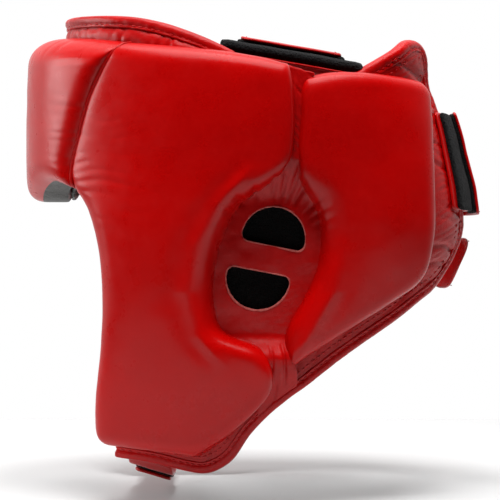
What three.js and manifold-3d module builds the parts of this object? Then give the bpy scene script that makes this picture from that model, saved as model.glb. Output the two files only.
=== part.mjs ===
// Boxing headgear, in millimetres, +Z up, front at -Y, the wearer's left at +X.
// The origin is the middle of the head cavity.
//
// Everything is laid on one head form. A place on it is an angle round the head (0 at the
// middle of the brow, 90 at the left ear, 180 at the back), a height, and a height off the form.
import * as THREE from 'three';
import { mergeVertices } from 'three/addons/utils/BufferGeometryUtils.js';
import Module from 'manifold-3d';

const wasm = await Module();
wasm.setup();

// ---- driving dimensions ----
const GAP = 0.3; // between pieces that touch
const BENT_GAP = 0.6; // between layers that bend round the form
const AXIS_Y = 5; // the form's upright axis
const FORM_HALF_WIDTH = 81;
const FORM_FRONT = 108.5; // axis to the brow lining
const FORM_REAR = 115.5; // axis to the back of the head
const FORM_ROUNDNESS = 2.3; // 2 is an ellipse, more is squarer
// how the form tapers: height, then what is added to the front, the rear and the half width
const FORM_TAPER = [
  [-125, 10.5, -36.5, -17],
  [-60, 7.5, -24.5, -6],
  [-20, 4, -11.5, -2],
  [15, 0, 0, 0],
  [60, -2.3, -8.5, -0.5],
  [90, -2.5, -18.5, -3],
  [135, -3, -40.5, -15],
];
const LINING = 2.5; // thickness of the lining
const LINING_GAP = 1.1; // lining to pad
const COVER = 1.5; // thickness of the leather over the foam
const BROW_PAD = 24.5; // off the form, cover included
const SIDE_PAD = 20;
const REAR_PAD = 16.5;
const ROLL = 9; // how far in from its outline a pad reaches full height
const EAR_PANEL = 3;
const SEAM_GAP = 0.6; // between pads sewn side by side, in degrees
const FLEX_GAP = 1.1; // between the linings at the wing hinge, in degrees
const EAR_FOLD = 3.3; // degrees left behind an ear panel for the wing to fold into
const BINDING_WIDTH = 6.5;
const BINDING_ROOM = 6.5; // what the outer edge's outline leaves beside the pads for it
const BINDING_OUT = 1.5; // binding off the form
const FLAP = 1.4; // thin leather of the flaps and tabs
const PATCH = 1.5; // loop patch
const HOOK = 1.2; // hook patch
const STRAP = 1.8; // strap leather
const HOLE_WIDTH = 34; // half-moon ear openings
const HOLE_HEIGHT = 21;
const HOLE_CORNER = 4;
const HOLES = [ // the upper one, then the lower one
  { y: 11.5, z: 2, tilt: -12, turn: 0 },
  { y: 5, z: -11, tilt: -11, turn: 180 },
];
const HOLE_REACH = [50, 120]; // the cutter, from the axis outwards
const CROWN_Y = [-13, 56]; // crown tab, front to back
const CROWN_STRAP_Y = [-5, 50];
const CROWN_ROOT_X = 69;
const CROWN_Z = 112.5; // crown tab underside, at its middle
const CROWN_DROP = 7.5; // lower than that at the roots
const CROWN_SLOPE = [0.14, -5]; // falls towards the back, from this y
const CHIN_Y = [-66, -42];
const CHIN_STRAP_Y = [-64, -44];
const CHIN_ROOT_X = 53;
const CHIN_Z = -117.5;
const CHIN_DROP = -4;
const CHIN_SLOPE = [0.3, -66];
const REAR_TAB_Z = [22, 76];
const REAR_STRAP_Z = [20, 78];
const TONGUE_Z = [-22, 17];

// ---- outlines on the form, as [degrees round the head, height] ----
// the seam between the brow and a side pad, from the bottom up
const SEAM = [[32.4, 33], [32.8, 46], [35.2, 62], [38.8, 84], [45.5, 110.5]];
// the brow pad's lower and upper edges, from the middle to the left seam
const BROW_LOWER = [[0, 27], [12, 33.5], [22, 38], [32.4, 33]];
const BROW_UPPER = [[0, 118.5], [16, 117], [31, 114], [45.5, 110.5]];
// a side pad's free front edge from the bottom up, its rear edge and its top edge
const CHEEK_FRONT = [
  [37, -105], [35.7, -99], [35.8, -90], [36.8, -76], [38.4, -61], [39.7, -46], [40.6, -28],
  [39.8, -4], [37, 16], [33.6, 28],
];
const SIDE_REAR = [
  [65, -110], [80, -96.5], [93, -75.5], [94.6, -62], [87, -46.8], [76.2, -40], [74.3, -22],
  [76.8, 4.5], [81.5, 21.5], [90.5, 32], [98.6, 44.5], [100.2, 60], [100.4, 84], [99, 97.5],
];
const SIDE_TOP = [[45.5, 110.5], [62, 107.6], [78, 104.6], [90, 101.4], [99, 97.5]];
// a rear pad from the bottom up: its front edge, then its rear edge, and its top edge
const REAR_FRONT = [
  [101.5, -63], [99.2, -53], [100, -42], [104, -31], [109.3, -15], [112.2, 3],
  [110.2, 22], [104.4, 36.5], [103.4, 50], [104.2, 68], [104.6, 84], [107, 91],
];
const REAR_BACK = [
  [140, -22], [143.8, -12], [144.4, 6], [144.8, 28], [145.9, 52], [147.4, 74], [147.4, 86], [143, 90],
];
const REAR_TOP = [[107, 91], [116, 94.2], [130, 93], [143, 90]];
// outer edges that a binding runs along, with the head on the left
const CHEEK_EDGE = [
  [35.4, -112.4], [46.3, -114.8], [57, -118.5], [64, -120], [70, -118.5], [78, -112],
  [86, -98.7], [94, -88.2], [100.4, -81.3],
];
const WING_EDGE = [
  [104, -77.6], [110, -71.8], [124.3, -56], [141.6, -38.8], [151.2, -28.8], [159.5, -20.5], [165.5, -8],
  [168, 8], [168, 24], [166.6, 44], [164.6, 64], [163.8, 84], [162, 101], [158.5, 112],
  [153, 115], [147, 113], [140.5, 107], [134.5, 101.5],
];
const CROWN_EDGE = [[0, 130], [20, 128.8], [38, 126.4], [50, 122.6], [60, 117.8], [66, 114.6]];

const leather = (color, roughness = 0.38) => (
  new THREE.MeshStandardMaterial({ color, roughness, metalness: 0 })
);
const RED = leather(0xb3161b);
const RED_DARK = leather(0x971217);
const LINING_GREY = leather(0x4b5046, 0.45);
const FOAM = leather(0x2c2c2e, 0.9);
const BLACK = leather(0x141414, 0.85);

// ---- the head form ----
const degrees = (angle) => (angle * Math.PI) / 180;
const clamp = THREE.MathUtils.clamp;
const lerp = THREE.MathUtils.lerp;

// a smooth value through the taper rows, with no overshoot between them
function taper(z, column) {
  const rows = FORM_TAPER;
  const height = clamp(z, rows[0][0], rows.at(-1)[0]);
  let row = 0;
  while (row < rows.length - 2 && rows[row + 1][0] < height) row += 1;
  const rise = (i) => (rows[i + 1][column] - rows[i][column]) / (rows[i + 1][0] - rows[i][0]);
  const slope = (i) => {
    if (i === 0) return rise(0);
    if (i === rows.length - 1) return rise(i - 1);
    const before = rise(i - 1);
    const after = rise(i);
    return before * after <= 0 ? 0 : (2 * before * after) / (before + after);
  };
  const span = rows[row + 1][0] - rows[row][0];
  const t = (height - rows[row][0]) / span;
  const start = rows[row][column];
  const end = rows[row + 1][column];
  return (
    start * (2 * t ** 3 - 3 * t ** 2 + 1) +
    end * (3 * t ** 2 - 2 * t ** 3) +
    slope(row) * span * (t ** 3 - 2 * t ** 2 + t) +
    slope(row + 1) * span * (t ** 3 - t ** 2)
  );
}

function formRadius(angle, z) {
  const across = Math.sin(degrees(angle));
  const forward = Math.cos(degrees(angle));
  const depth = forward > 0 ? FORM_FRONT + taper(z, 1) : FORM_REAR + taper(z, 2);
  const width = FORM_HALF_WIDTH + taper(z, 3);
  const sum = Math.abs(across / width) ** FORM_ROUNDNESS + Math.abs(forward / depth) ** FORM_ROUNDNESS;
  return sum ** (-1 / FORM_ROUNDNESS);
}

function onForm(angle, z, height) {
  const radius = formRadius(angle, z) + height;
  return new THREE.Vector3(
    radius * Math.sin(degrees(angle)),
    AXIS_Y - radius * Math.cos(degrees(angle)),
    z,
  );
}

// ---- flat sheets bent on to the form ----
const FIRST_RING = 4.2; // a pad's first grid line, in from its outline
const MEASURE = degrees(FORM_HALF_WIDTH); // millimetres in a degree, for outlines
const flat = ([angle, z]) => new THREE.Vector2(angle * MEASURE, z);
const edge = (points) => new THREE.SplineCurve(points.map(flat));

// An area between two edges that run side by side. start and end, where given, shape its
// first and last rungs.
function strip(first, second, start = [first[0], second[0]], end = [first.at(-1), second.at(-1)]) {
  const from = edge(first);
  const to = edge(second);
  const foot = edge(start);
  const head = edge(end);
  const bow = (curve, u) => curve.getPoint(u).sub(curve.getPoint(0).lerp(curve.getPoint(1), u));
  const rung = (u, v) =>
    from.getPoint(v).lerp(to.getPoint(v), u)
      .addScaledVector(bow(foot, u), 1 - v)
      .addScaledVector(bow(head, u), v);
  const middle = new THREE.SplineCurve(Array.from({ length: 41 }, (_, i) => rung(0.5, i / 40)));
  // v is a share of the strip's middle line, so that equal steps are equal lengths
  const at = (u, v) => rung(u, middle.getUtoTmapping(v));
  const outline = [];
  const steps = 60;
  for (let i = 0; i <= steps; i += 1) outline.push(at(0, i / steps));
  for (let i = 1; i <= steps; i += 1) outline.push(at(i / steps, 1));
  for (let i = steps - 1; i >= 0; i -= 1) outline.push(at(1, i / steps));
  for (let i = steps - 1; i >= 0; i -= 1) outline.push(at(i / steps, 0));
  return { at, outline, length: middle.getLength() };
}

function nearestOn(outline, point) {
  const target = new THREE.Vector3(point.x, point.y, 0);
  const near = new THREE.Vector3();
  const best = new THREE.Vector3(Infinity, Infinity, 0);
  for (let i = 1; i < outline.length; i += 1) {
    const a = new THREE.Vector3(outline[i - 1].x, outline[i - 1].y, 0);
    const b = new THREE.Vector3(outline[i].x, outline[i].y, 0);
    new THREE.Line3(a, b).closestPointToPoint(target, true, near);
    if (near.distanceTo(target) < best.distanceTo(target)) best.copy(near);
  }
  return new THREE.Vector2(best.x, best.y);
}

const distanceTo = (outline, point) => nearestOn(outline, point).distanceTo(point);

// A closed sheet: a box whose grid of (u, v) points is laid on the strip. `inset` moves the
// border of the underside and of the top in from the outline. `rings` are the distances of the
// first grid lines from the border. under and top are heights, or give one for a place.
function sheet(area, { across, along, under, top, inset = [0, 0], rings = [] }) {
  const geometry = new THREE.BoxGeometry(1, 1, 1, across, along, 1);
  const places = geometry.attributes.position;
  const line = (index, count, width) => {
    const fromEnd = Math.min(index, count - index);
    let value = fromEnd / count;
    if (fromEnd > 0 && fromEnd <= rings.length) value = rings[fromEnd - 1] / width;
    else if (rings.length && fromEnd > 0) {
      const share = (fromEnd - rings.length) / (count / 2 - rings.length);
      value = lerp(rings.at(-1) / width, 0.5, share);
    }
    return index <= count / 2 ? value : 1 - value;
  };
  const spotAt = (column, row) => {
    const v = line(row, along, area.length);
    const u = line(column, across, area.at(0, v).distanceTo(area.at(1, v)));
    return area.at(u, v);
  };
  for (let i = 0; i < places.count; i += 1) {
    const onTop = places.getZ(i) > 0;
    const margin = onTop ? inset[1] : inset[0];
    const column = Math.round((places.getX(i) + 0.5) * across);
    const row = Math.round((places.getY(i) + 0.5) * along);
    const side = column === 0 || column === across;
    const border = side || row === 0 || row === along;
    const corner = side && (row === 0 || row === along);
    let spot = spotAt(column, row);
    if (border && margin > 0) {
      const inside = spotAt(clamp(column, 1, across - 1), clamp(row, 1, along - 1));
      const step = corner ? 2 * margin : margin;
      spot.lerp(inside, step / Math.max(FIRST_RING, spot.distanceTo(inside)));
    }
    const rule = onTop ? top : under;
    const height = typeof rule === 'function' ? rule(spot, border) : rule;
    const place = onForm(spot.x / MEASURE, spot.y, height);
    places.setXYZ(i, place.x, place.y, place.z);
  }
  return matchDiagonals(geometry);
}

// splits the underside's squares the same way as the top's, so that stacked sheets never cross
function matchDiagonals(geometry) {
  const underside = geometry.groups[5];
  const index = geometry.index;
  for (let i = underside.start; i < underside.start + underside.count; i += 6) {
    const [a, b, c, d] = [index.getX(i), index.getX(i + 1), index.getX(i + 4), index.getX(i + 2)];
    [a, b, c, a, c, d].forEach((corner, k) => index.setX(i + k, corner));
  }
  return geometry;
}

const roll = (distance) => Math.sqrt(1 - (1 - clamp(distance / ROLL, 0, 1)) ** 2);
const PAD_RINGS = [FIRST_RING, ROLL + 1];
const LINING_LOW = LINING_GAP + LINING; // inner face of the lining, in from the form

const FOAM_RIM = 0.5; // height of the foam's edge
const COVER_RIM = 4; // least height inside the cover

// the height of a pad's surface that lies `inset` inside its cover's outer face
function dome(area, thickness, inset, rim, lowest) {
  return (spot, border) => {
    const height = (thickness - inset) * roll(distanceTo(area.outline, spot) - inset);
    return border ? rim : Math.max(lowest, height);
  };
}

// the leather tray over a pad's foam, open on the lining side
function padCover(area, thickness, across, along) {
  return sheet(area, {
    across, along, rings: PAD_RINGS, inset: [COVER, 0],
    top: dome(area, thickness, 0, 0, 0),
    under: dome(area, thickness, COVER, 0, COVER_RIM),
  });
}

function padFoam(area, thickness, across, along) {
  const margin = COVER + GAP + BENT_GAP;
  return sheet(area, {
    across, along, rings: PAD_RINGS, inset: [margin, margin], under: 0,
    top: dome(area, thickness, COVER + GAP, FOAM_RIM, FOAM_RIM),
  });
}

// a thin layer of even thickness
function layer(area, low, high, across, along, margin = 0) {
  return sheet(area, { across, along, top: high, under: low, inset: [margin, margin] });
}

const reflect = (points) => points.map(([angle, z]) => [-angle, z]);
// from the middle to the left, and the same on the right: the whole, from right to left
const bothHalves = (points) => [...reflect(points).reverse(), ...points.slice(1)];
const shift = (points, by) => points.map(([angle, z]) => [angle + by, z]);

// `count` points of an edge, between two of its point numbers
function between(points, from, to, count) {
  const curve = edge(points);
  return Array.from({ length: count }, (_, i) => {
    const place = curve.getPoint(lerp(from, to, i / (count - 1)) / (points.length - 1));
    return [place.x / MEASURE, place.y];
  });
}

// the edge moved to its left, which is into the head's side, by a distance
function inside(points, distance) {
  const curve = edge(points);
  return points.map((point, i) => {
    const way = curve.getTangent(i / (points.length - 1));
    return [point[0] - (way.y * distance) / MEASURE, point[1] + way.x * distance];
  });
}

// a folded strip sewn round an edge
function binding(points, steps) {
  const outer = inside(points, BINDING_ROOM - BINDING_WIDTH);
  return layer(strip(inside(points, BINDING_ROOM), outer), -LINING_LOW, BINDING_OUT, 2, steps);
}

// ---- solids ----
function toSolid(geometry) {
  const bare = geometry.clone();
  for (const name of Object.keys(bare.attributes)) {
    if (name !== 'position') bare.deleteAttribute(name);
  }
  const merged = mergeVertices(bare, 1e-4);
  return new wasm.Manifold(new wasm.Mesh({
    numProp: 3,
    vertProperties: new Float32Array(merged.attributes.position.array),
    triVerts: new Uint32Array(merged.index.array),
  }));
}

function fromSolid(solid) {
  const mesh = solid.getMesh();
  const geometry = new THREE.BufferGeometry();
  geometry.setAttribute('position', new THREE.BufferAttribute(mesh.vertProperties, 3));
  geometry.setIndex(new THREE.BufferAttribute(mesh.triVerts, 1));
  return geometry;
}

function flipped(geometry) {
  const index = geometry.index;
  for (let i = 0; i < index.count; i += 3) {
    const first = index.getX(i);
    index.setX(i, index.getX(i + 2));
    index.setX(i + 2, first);
  }
  return geometry;
}

// the same piece for the wearer's right
function mirrored(geometry) {
  const copy = geometry.clone();
  copy.scale(-1, 1, 1);
  return flipped(copy);
}

function halfMoon() {
  const half = HOLE_WIDTH / 2;
  const shape = new THREE.Shape();
  shape.moveTo(-half + HOLE_CORNER, 0);
  shape.lineTo(half - HOLE_CORNER, 0);
  shape.absarc(half - HOLE_CORNER, HOLE_CORNER, HOLE_CORNER, -Math.PI / 2, 0, false);
  shape.absellipse(0, HOLE_CORNER, half, HOLE_HEIGHT - HOLE_CORNER, 0, Math.PI, false);
  shape.absarc(-half + HOLE_CORNER, HOLE_CORNER, HOLE_CORNER, Math.PI, 1.5 * Math.PI, false);
  return shape;
}

// cuts both half-moon ear openings through a piece on the wearer's left
function cutEarHoles(geometry) {
  let solid = toSolid(geometry);
  const depth = HOLE_REACH[1] - HOLE_REACH[0];
  const outwards = new THREE.Matrix4().makeBasis(
    new THREE.Vector3(0, 1, 0),
    new THREE.Vector3(0, 0, 1),
    new THREE.Vector3(1, 0, 0),
  );
  for (const hole of HOLES) {
    const cutter = new THREE.ExtrudeGeometry(halfMoon(), {
      depth, bevelEnabled: false, curveSegments: 7,
    });
    cutter.rotateZ(degrees(hole.tilt + hole.turn));
    cutter.applyMatrix4(outwards);
    cutter.translate(HOLE_REACH[0], hole.y, hole.z);
    solid = solid.subtract(toSolid(cutter));
  }
  return fromSolid(solid);
}

// ---- bands over the crown and under the chin ----
// x runs along the band, which bows by `drop` between its roots and slopes along y
function archBand({ from, to, y, root, middle, drop, slope, low, thick, side, steps }) {
  const geometry = new THREE.BoxGeometry(1, 1, 1, steps, 2, 1);
  const places = geometry.attributes.position;
  for (let i = 0; i < places.count; i += 1) {
    const x = lerp(from, to, places.getX(i) + 0.5);
    const depth = lerp(y[0], y[1], places.getY(i) + 0.5);
    const lift = (typeof low === 'function' ? low(x) : low) + (places.getZ(i) > 0 ? thick : 0);
    const z = middle - drop * (x / root) ** 2 - slope[0] * (depth - slope[1]);
    const lean = Math.atan((-2 * drop * x) / root ** 2);
    places.setXYZ(i, x - side * Math.sin(lean) * lift, depth, z + side * Math.cos(lean) * lift);
  }
  matchDiagonals(geometry);
  return side > 0 ? geometry : flipped(geometry);
}

const crown = (part) => archBand({
  root: CROWN_ROOT_X, middle: CROWN_Z, drop: CROWN_DROP, slope: CROWN_SLOPE, side: 1, ...part,
});
const chin = (part) => archBand({
  root: CHIN_ROOT_X, middle: CHIN_Z, drop: CHIN_DROP, slope: CHIN_SLOPE, side: -1, ...part,
});

// ---- assembly ----
const headgear = new THREE.Group();
headgear.name = 'headgear';

function add(name, geometry, material) {
  const mesh = new THREE.Mesh(geometry, material);
  mesh.name = name;
  headgear.add(mesh);
}

function addPair(name, geometry, material) {
  add(`left_${name}`, geometry, material);
  add(`right_${name}`, mirrored(geometry), material);
}

function brow() {
  const area = strip(reflect(SEAM), SEAM, bothHalves(BROW_LOWER), bothHalves(BROW_UPPER));
  add('brow_cover', padCover(area, BROW_PAD, 16, 8), RED);
  add('brow_foam', padFoam(area, BROW_PAD, 16, 8), FOAM);
  const lining = sheet(area, {
    across: 16, along: 8, under: -LINING_LOW, top: -LINING_GAP, inset: [1, 1], rings: PAD_RINGS,
  });
  add('brow_lining', lining, LINING_GREY);
}

function sides() {
  const front = shift([...CHEEK_FRONT, ...SEAM], SEAM_GAP);
  const top = shift(SIDE_TOP, SEAM_GAP);
  top[top.length - 1] = SIDE_REAR.at(-1);
  const area = strip(front, SIDE_REAR, undefined, top);
  addPair('side_cover', padCover(area, SIDE_PAD, 12, 26), RED);
  addPair('side_foam', padFoam(area, SIDE_PAD, 12, 26), FOAM);
  const back = [
    ...inside(CHEEK_EDGE, BINDING_ROOM + GAP).slice(3),
    ...shift(REAR_FRONT, -FLEX_GAP),
  ];
  const lining = layer(strip(front, back, undefined, top), -LINING_LOW, -LINING_GAP, 10, 26, 1);
  addPair('side_lining', cutEarHoles(lining), LINING_GREY);
}

// ear openings sit in a thin panel between the side pad and the rear pad
function ears() {
  const front = shift(between(SIDE_REAR, 3.7, 9.6, 12), 2 * SEAM_GAP);
  const back = shift(between(REAR_FRONT, 1, 7.4, 12), -EAR_FOLD);
  const panel = layer(strip(front, back), 0, EAR_PANEL, 6, 10, 1);
  addPair('ear_panel', cutEarHoles(panel), RED);
}

function rears() {
  const area = strip(REAR_FRONT, REAR_BACK, undefined, REAR_TOP);
  addPair('rear_cover', padCover(area, REAR_PAD, 8, 14), RED);
  addPair('rear_foam', padFoam(area, REAR_PAD, 8, 14), FOAM);
  const rim = inside(WING_EDGE, BINDING_ROOM + 2 * BENT_GAP);
  const front = [rim[0], ...REAR_FRONT, [114, 93], ...rim.slice(15).reverse()];
  const lining = strip(front, rim.slice(4, 14));
  addPair('rear_lining', layer(lining, -LINING_LOW, -LINING_GAP, 8, 24, 1), LINING_GREY);
  const flapFront = [...shift(REAR_BACK.slice(1, 7), SEAM_GAP), [147.5, 98], [150, 105]];
  const flapBack = inside(WING_EDGE, BINDING_ROOM + BENT_GAP).slice(5, 13);
  addPair('rear_flap', layer(strip(flapFront, flapBack), 0, FLAP, 3, 14), RED_DARK);
}

function bindings() {
  addPair('cheek_binding', binding(CHEEK_EDGE, 14), RED_DARK);
  addPair('wing_binding', binding(WING_EDGE, 36), RED_DARK);
}

// the collar above the brow, with its bound top edge
function crownCollar() {
  const outline = bothHalves(CROWN_EDGE);
  const rim = outline.map(([angle, z]) => [angle, z + BINDING_WIDTH - BINDING_ROOM]);
  const lower = outline.map(([angle, z]) => [angle, z - BINDING_ROOM]);
  add('crown_collar_binding', layer(strip(rim, lower), -1, 3.2, 1, 28), RED_DARK);
  const foot = bothHalves([[0, 119.6], [20, 117.6], [38, 113.8], [50, 111], [60, 108.8]]);
  const top = bothHalves([[0, 123.2], [20, 122], [38, 119.6], [50, 115.8], [60, 111]]);
  add('crown_collar', layer(strip(top, foot), 0, FLAP + 1, 2, 24), RED);
}

function crownClosure() {
  const loopLow = FLAP + BENT_GAP;
  const hookLow = loopLow + PATCH + BENT_GAP;
  const strapLow = hookLow + HOOK + BENT_GAP;
  const tabEnd = 4;
  const overlap = 48; // where the strap ends
  add('crown_tab', crown({ from: tabEnd, to: CROWN_ROOT_X, y: CROWN_Y, low: 0, thick: FLAP, steps: 8 }), RED);
  add('crown_tab_loop', crown({
    from: tabEnd + 2, to: CROWN_ROOT_X - 2, y: [CROWN_Y[0] + 5, CROWN_Y[1] - 4],
    low: loopLow, thick: PATCH, steps: 8,
  }), BLACK);
  const rise = (x) => lerp(GAP, strapLow, THREE.MathUtils.smoothstep(x, -34, tabEnd - 5));
  add('crown_strap', crown({
    from: -CROWN_ROOT_X + 1, to: overlap, y: CROWN_STRAP_Y, low: rise, thick: STRAP, steps: 16,
  }), RED);
  add('crown_strap_hook', crown({
    from: tabEnd + 4, to: overlap - 3, y: [CROWN_STRAP_Y[0] + 2, CROWN_STRAP_Y[1] - 2],
    low: hookLow, thick: HOOK, steps: 6,
  }), BLACK);
}

function chinClosure() {
  const loopLow = FLAP + BENT_GAP;
  const hookLow = loopLow + PATCH + BENT_GAP;
  const strapLow = hookLow + HOOK + BENT_GAP;
  const tabEnd = -12;
  const overlap = 26;
  add('chin_tab', chin({ from: tabEnd, to: CHIN_ROOT_X, y: CHIN_Y, low: 0, thick: FLAP, steps: 8 }), RED);
  add('chin_tab_loop', chin({
    from: tabEnd + 2, to: CHIN_ROOT_X - 14, y: [CHIN_Y[0] + 2, CHIN_Y[1] - 2],
    low: loopLow, thick: PATCH, steps: 7,
  }), BLACK);
  const rise = (x) => lerp(GAP, strapLow, THREE.MathUtils.smoothstep(x, -38, tabEnd - 3));
  add('chin_strap', chin({
    from: -CHIN_ROOT_X + 1, to: overlap, y: CHIN_STRAP_Y, low: rise, thick: STRAP, steps: 12,
  }), RED);
  add('chin_strap_hook', chin({
    from: tabEnd + 3, to: overlap - 2, y: [CHIN_STRAP_Y[0] + 2, CHIN_STRAP_Y[1] - 2],
    low: hookLow, thick: HOOK, steps: 5,
  }), BLACK);
}

// a level band round the back of the head between two heights
function rearBand(name, angles, heights, low, thick, steps, material) {
  const upright = (angle) => [[angle, heights[0]], [angle, heights[1]]];
  const area = strip(upright(angles[0]), upright(angles[1]));
  const base = (spot) => (typeof low === 'function' ? low(spot.x / MEASURE) : low);
  add(name, sheet(area, {
    across: steps, along: 4, under: base, top: (spot) => base(spot) + thick,
  }), material);
}

function rearClosure() {
  const tabLow = BINDING_OUT + BENT_GAP;
  const loopLow = tabLow + FLAP + BENT_GAP;
  const hookLow = loopLow + PATCH + BENT_GAP;
  const strapLow = hookLow + HOOK + BENT_GAP;
  const tab = [158, 190];
  const root = 197;
  rearBand('rear_tab', tab, REAR_TAB_Z, tabLow, FLAP, 8, RED);
  rearBand('rear_tab_loop', [164, 189], [REAR_TAB_Z[0] + 1, REAR_TAB_Z[1] - 1], loopLow, PATCH, 8, BLACK);
  const fall = (angle) => lerp(strapLow, tabLow, THREE.MathUtils.smoothstep(angle, 191.5, root - 0.5));
  rearBand('rear_strap', [173, root - 0.3], REAR_STRAP_Z, fall, STRAP, 12, RED);
  const hook = [REAR_STRAP_Z[0] + 3, REAR_STRAP_Z[1] - 3];
  rearBand('rear_strap_hook', [174, 188], hook, hookLow, HOOK, 5, BLACK);
  rearBand('rear_strap_base', [root + 0.3, 204], REAR_STRAP_Z, tabLow, STRAP, 3, RED);
  const flare = (angle) => lerp(5, tabLow, THREE.MathUtils.smoothstep(angle, 176, 190));
  rearBand('nape_tongue', [175.5, 199], TONGUE_Z, flare, STRAP, 8, RED);
}

brow();
sides();
ears();
rears();
bindings();
crownCollar();
crownClosure();
chinClosure();
rearClosure();

export default headgear;
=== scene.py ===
import math

import bmesh
import bpy
import numpy as np
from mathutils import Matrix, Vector


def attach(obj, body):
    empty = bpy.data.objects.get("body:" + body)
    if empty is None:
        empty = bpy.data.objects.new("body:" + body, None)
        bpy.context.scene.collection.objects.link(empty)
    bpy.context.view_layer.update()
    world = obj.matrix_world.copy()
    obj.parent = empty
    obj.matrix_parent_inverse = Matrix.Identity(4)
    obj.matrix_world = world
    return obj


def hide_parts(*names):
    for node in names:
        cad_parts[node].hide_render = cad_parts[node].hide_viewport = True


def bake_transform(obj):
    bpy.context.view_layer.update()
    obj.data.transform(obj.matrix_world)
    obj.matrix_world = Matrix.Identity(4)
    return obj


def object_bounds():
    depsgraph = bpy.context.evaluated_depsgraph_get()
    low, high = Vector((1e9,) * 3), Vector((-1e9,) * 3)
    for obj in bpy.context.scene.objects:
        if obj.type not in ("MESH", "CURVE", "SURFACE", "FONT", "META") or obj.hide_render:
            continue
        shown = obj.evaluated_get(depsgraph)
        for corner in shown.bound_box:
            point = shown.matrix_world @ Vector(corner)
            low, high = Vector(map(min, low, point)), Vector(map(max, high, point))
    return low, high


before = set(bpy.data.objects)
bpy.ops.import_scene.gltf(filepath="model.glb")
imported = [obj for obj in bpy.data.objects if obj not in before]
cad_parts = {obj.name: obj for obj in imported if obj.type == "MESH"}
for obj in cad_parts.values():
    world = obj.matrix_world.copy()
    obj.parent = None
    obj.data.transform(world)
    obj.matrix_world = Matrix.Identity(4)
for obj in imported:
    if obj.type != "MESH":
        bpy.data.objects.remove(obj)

CAD_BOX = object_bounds()
MM = 0.001

# Boxing headgear. Sizes are in millimetres until a mesh is made. A place on the head is
# (angle, z, height): degrees round the head from the brow, with the wearer's left at 90,
# the level, and how far it stands off the head form.

# ---- the head form, the same as the frame's ----
AXIS_Y = 5
HALF_WIDTH, FRONT, REAR, ROUNDNESS = 81, 108.5, 115.5, 2.3
TAPER = np.array([  # level, and what it adds in front, behind and at the sides
    [-125, 10.5, -36.5, -17], [-60, 7.5, -24.5, -6], [-20, 4, -11.5, -2], [15, 0, 0, 0],
    [60, -2.3, -8.5, -0.5], [90, -2.5, -18.5, -3], [135, -3, -40.5, -15],
], float)
MEASURE = math.radians(HALF_WIDTH)  # millimetres in a degree, for outlines


def taper(z, column):
    levels, values = TAPER[:, 0], TAPER[:, column]
    rise = np.diff(values) / np.diff(levels)
    before, after = rise[:-1], rise[1:]
    agree = before * after > 0
    total = np.where(agree, before + after, 1)
    slope = np.concatenate([[rise[0]], np.where(agree, 2 * before * after / total, 0), [rise[-1]]])
    z = np.clip(z, levels[0], levels[-1])
    row = np.clip(np.searchsorted(levels, z) - 1, 0, len(levels) - 2)
    span = levels[row + 1] - levels[row]
    t = (z - levels[row]) / span
    return (
        values[row] * (2 * t**3 - 3 * t**2 + 1) + values[row + 1] * (3 * t**2 - 2 * t**3)
        + slope[row] * span * (t**3 - 2 * t**2 + t) + slope[row + 1] * span * (t**3 - t**2)
    )


def form_radius(angle, z):
    across, forward = np.sin(np.radians(angle)), np.cos(np.radians(angle))
    depth = np.where(forward > 0, FRONT + taper(z, 1), REAR + taper(z, 2))
    width = HALF_WIDTH + taper(z, 3)
    total = np.abs(across / width) ** ROUNDNESS + np.abs(forward / depth) ** ROUNDNESS
    return total ** (-1 / ROUNDNESS)


def wing_lean(angle, z):
    """How far the thin leather above a rear pad leans out from the head form."""
    side = np.abs(angle)
    return 8.5 * smooth(side, 122, 146) * (1 - smooth(side, 170, 176)) * smooth(z, 88, 113)


def on_form(angle, z, height):
    angle, z, height = np.broadcast_arrays(*(np.asarray(v, float) for v in (angle, z, height)))
    radius = form_radius(angle, z) + height
    turn = np.radians(angle)
    return np.stack([radius * np.sin(turn), AXIS_Y - radius * np.cos(turn), z], -1)


def off_form(points):
    """(angle, z, height) of points in millimetres."""
    x, y, z = points[:, 0], points[:, 1], points[:, 2]
    angle = np.degrees(np.arctan2(x, AXIS_Y - y))
    return angle, z, np.hypot(x, AXIS_Y - y) - form_radius(angle, z)


# ---- outlines ----
SEAM = [[32.4, 33], [32.8, 46], [35.2, 62], [38.8, 84], [45.5, 110.5]]
BROW_LOWER = [[0, 27], [12, 33.5], [22, 38], [32.4, 33]]
BROW_UPPER = [[0, 118.5], [16, 117], [31, 114], [45.5, 110.5]]
CHEEK_FRONT = [
    [37, -105], [35.7, -99], [35.8, -90], [36.8, -76], [38.4, -61], [39.7, -46], [40.6, -28],
    [39.8, -4], [37, 16], [33.6, 28],
]
SIDE_BACK = [  # a side pad's rear edge, which turns tightly under the ear
    [65, -110], [79, -97.5], [90, -83], [94.6, -71.5], [93.6, -59], [89.5, -50.5], [82.5, -47.2],
    [76, -42.5], [73.6, -32], [73.6, -14], [76.4, 5], [82, 22], [91, 32], [98.8, 43.5],
    [100.9, 60], [101, 84], [99.5, 98],
]
SIDE_TOP = [[45.5, 110.5], [62, 107.6], [78, 104.6], [90, 101.4], [99, 97.5]]
REAR_FRONT = [
    [101.5, -63], [99.2, -53], [100, -42], [104, -31], [109.3, -15], [112.2, 3],
    [110.2, 22], [104.4, 36.5], [103.4, 50], [104.2, 68], [104.6, 84], [107, 91],
]
REAR_BACK = [
    [140, -22], [143.8, -12], [144.4, 6], [144.8, 28], [145.9, 52], [147.4, 74], [148.2, 85],
    [146, 91.3],
]
REAR_TOP = [[107, 91], [116, 94], [131, 93.6], [146, 91.3]]
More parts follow.
